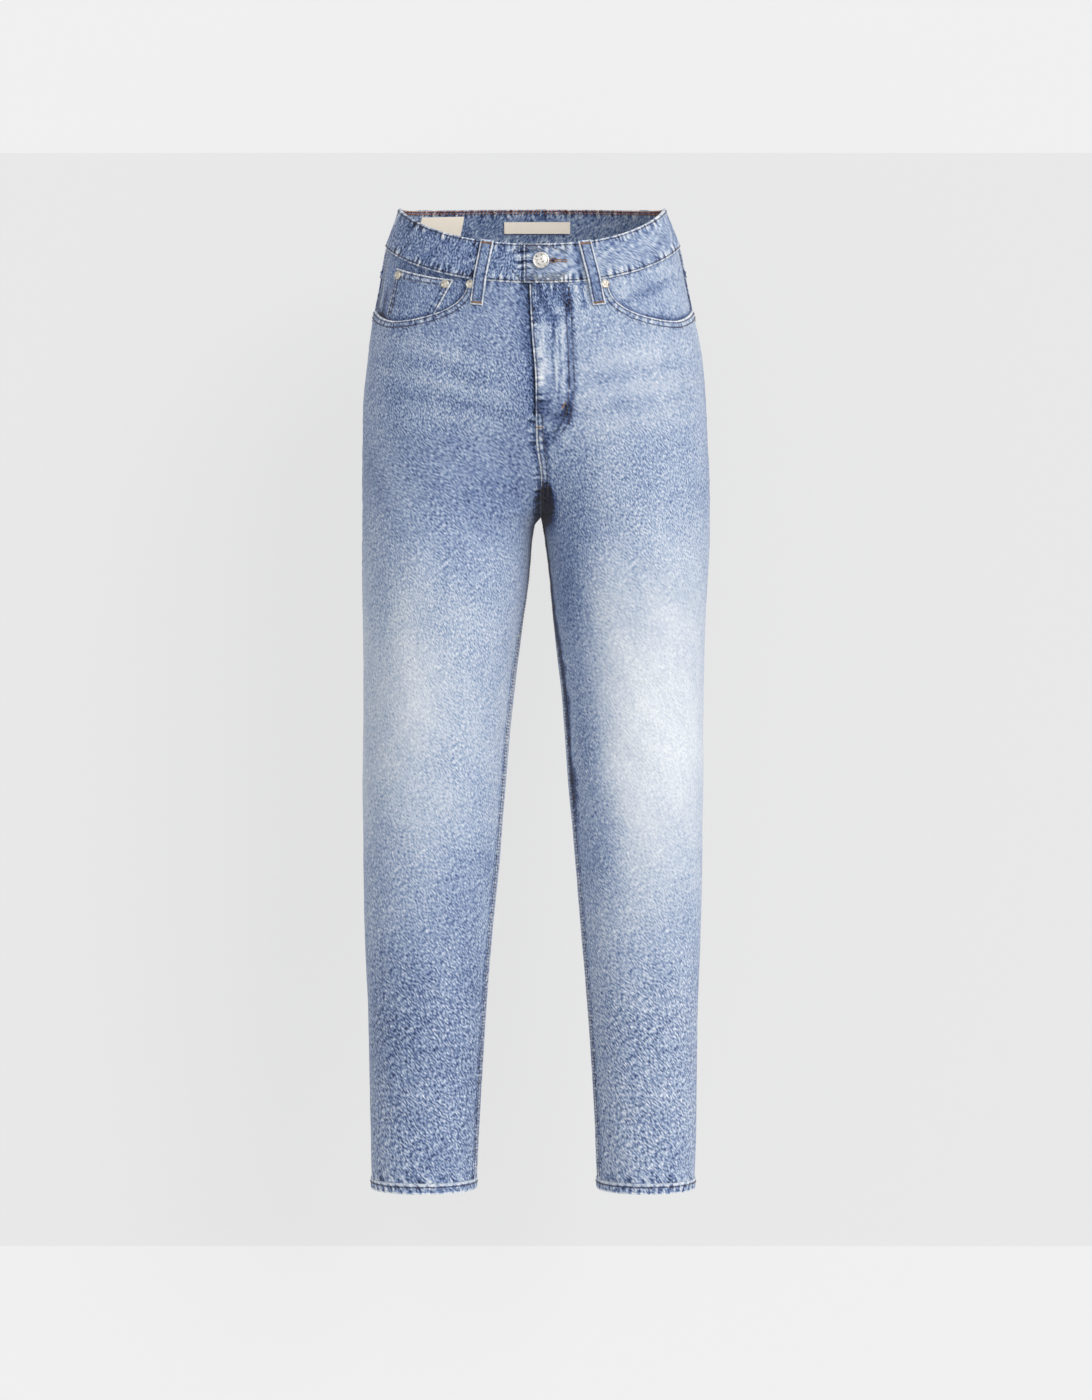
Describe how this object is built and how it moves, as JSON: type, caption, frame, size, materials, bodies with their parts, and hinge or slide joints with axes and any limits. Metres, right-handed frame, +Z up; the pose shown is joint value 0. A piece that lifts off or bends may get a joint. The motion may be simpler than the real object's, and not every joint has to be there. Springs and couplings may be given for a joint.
{
  "type": "high-rise tapered mom jeans",
  "caption": "High-rise straight-to-tapered denim trousers, filled out as worn with nobody in them, open at the waist and both hems.",
  "frame": {"origin": "middle of the waist opening, level with its top edge at the sides", "axes": "+Z up along the garment, the front faces -Y, the wearer's left is +X"},
  "size_m": [0.3623, 0.2488, 1.0325],
  "materials": {
    "denim": "light-wash blue cotton denim, 3/1 twill, worn pale on the thighs",
    "zip_tape": "woven navy zip tape with metal teeth",
    "label": "cream woven tape, blank",
    "button_metal": "antique nickel, lightly hammered",
    "rivet_metal": "dull nickel"
  },
  "bodies": {
    "root": {"front_panel_right": "denim", "front_panel_left": "denim", "back_panel_right": "denim", "back_panel_left": "denim", "yoke_right": "denim", "yoke_left": "denim", "back_pocket_right": "denim", "back_pocket_left": "denim", "hem_right": "denim", "hem_left": "denim", "waistband": "denim", "pocket_facing_right": "denim", "pocket_facing_left": "denim", "coin_pocket": "denim", "belt_loop_front_right": "denim", "belt_loop_front_left": "denim", "belt_loop_back_right": "denim", "belt_loop_back_left": "denim", "belt_loop_centre": "denim", "zip": "zip_tape", "label_centre": "label", "label_side": "label", "button": "button_metal", "rivet_mouth_right": "rivet_metal", "rivet_mouth_left": "rivet_metal", "rivet_coin_inner": "rivet_metal", "rivet_coin_outer": "rivet_metal"}
  },
  "joints": []
}
